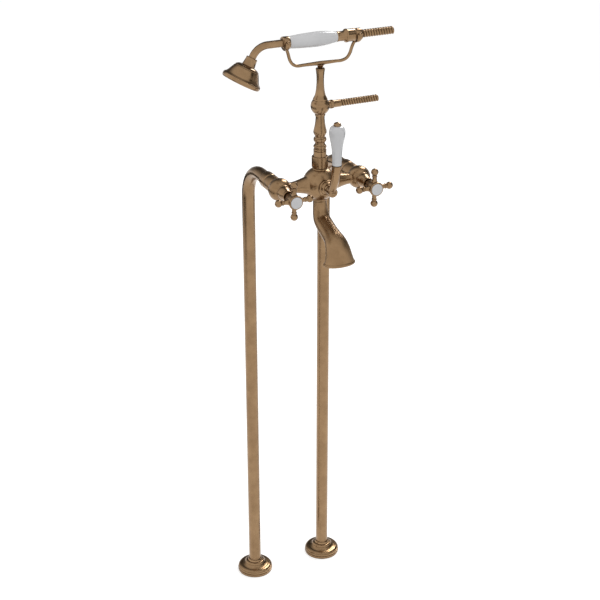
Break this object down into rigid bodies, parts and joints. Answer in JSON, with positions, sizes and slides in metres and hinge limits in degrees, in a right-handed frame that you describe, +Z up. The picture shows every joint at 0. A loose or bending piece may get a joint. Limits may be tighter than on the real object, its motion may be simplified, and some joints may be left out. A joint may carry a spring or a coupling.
{
  "type": "bath filler",
  "caption": "Floor standing bath filler: two legs, a mixer with cross handles and a lever, a swan-neck spout and a hand shower on a cradle.",
  "frame": {"origin": "on the floor, midway between the axes of the two legs, which is the middle of the four floor screws", "axes": "+X to the right seen from the front, -Y towards the front, where the spout points, +Z up"},
  "size_m": [0.3048, 0.2722, 1.1407],
  "materials": {
    "bronze": "aged, finely brushed",
    "porcelain": "satin glaze",
    "ceramic_disc": "lapped",
    "rubber": "matte",
    "steel": "turned"
  },
  "bodies": {
    "frame": {"floor_anchor_left": "bronze", "floor_anchor_right": "bronze", "floor_flange_left": "bronze", "floor_flange_right": "bronze", "leg_tube_left": "bronze", "leg_tube_right": "bronze", "union_nut_left": "bronze", "union_nut_right": "bronze", "valve_seat_left": "ceramic_disc", "valve_seat_right": "ceramic_disc", "valve_cartridge_left": "bronze", "valve_cartridge_right": "bronze", "spindle_seal_left": "rubber", "spindle_seal_right": "rubber", "valve_bonnet_left": "bronze", "valve_bonnet_right": "bronze", "leg_grubs": "steel", "union_washers": "rubber", "mixer_body": "bronze", "diverter_seal": "rubber", "diverter_bonnet": "bronze", "spout": "bronze", "spout_seal": "rubber", "riser_nut": "bronze", "riser_washer": "rubber", "riser_column": "bronze", "riser_ball": "bronze", "cradle_post": "bronze", "cradle_grub": "steel", "outlet_ferrule": "bronze", "outlet_hose": "bronze", "outlet_liner": "rubber"},
    "handle_left": {"valve_handle_left": "bronze", "handle_screw_left": "steel", "index_disc_left": "porcelain", "valve_spindle_left": "steel", "valve_disc_left": "ceramic_disc"},
    "handle_right": {"valve_handle_right": "bronze", "handle_screw_right": "steel", "index_disc_right": "porcelain", "valve_spindle_right": "steel", "valve_disc_right": "ceramic_disc"},
    "diverter": {"diverter_plug": "bronze", "diverter_lever": "bronze", "diverter_screw": "steel", "lever_grip": "porcelain", "lever_rod": "bronze"},
    "cradle": {"cradle": "bronze"},
    "handset": {"head_bell": "bronze", "face_seal": "rubber", "head_face": "bronze", "neck_nut": "bronze", "neck_washer": "rubber", "handset_tube": "bronze", "grip_ferrule": "bronze", "handset_grip": "porcelain", "grip_connector": "bronze", "hose_nut": "bronze", "handset_hose": "bronze", "handset_liner": "rubber"}
  },
  "joints": [
    {"name": "left_valve_turn", "type": "hinge", "parent": "frame", "child": "handle_left", "pos_m": [-0.075, -0.2, 0.8757], "axis": [0, -1, 0], "range_deg": [0, 90]},
    {"name": "right_valve_turn", "type": "hinge", "parent": "frame", "child": "handle_right", "pos_m": [0.075, -0.2, 0.8757], "axis": [0, -1, 0], "range_deg": [-90, 0]},
    {"name": "diverter_turn", "type": "hinge", "parent": "frame", "child": "diverter", "pos_m": [0, -0.19, 0.876], "axis": [0, -1, 0], "range_deg": [-45, 45]},
    {"name": "cradle_swivel", "type": "hinge", "parent": "frame", "child": "cradle", "pos_m": [0, -0.1414, 1.08], "axis": [0, 0, 1], "range_deg": [-90, 90]},
    {"name": "handset_lift", "type": "slide", "parent": "cradle", "child": "handset", "axis": [0, 0, 1], "range_m": [0, 0.12]}
  ]
}
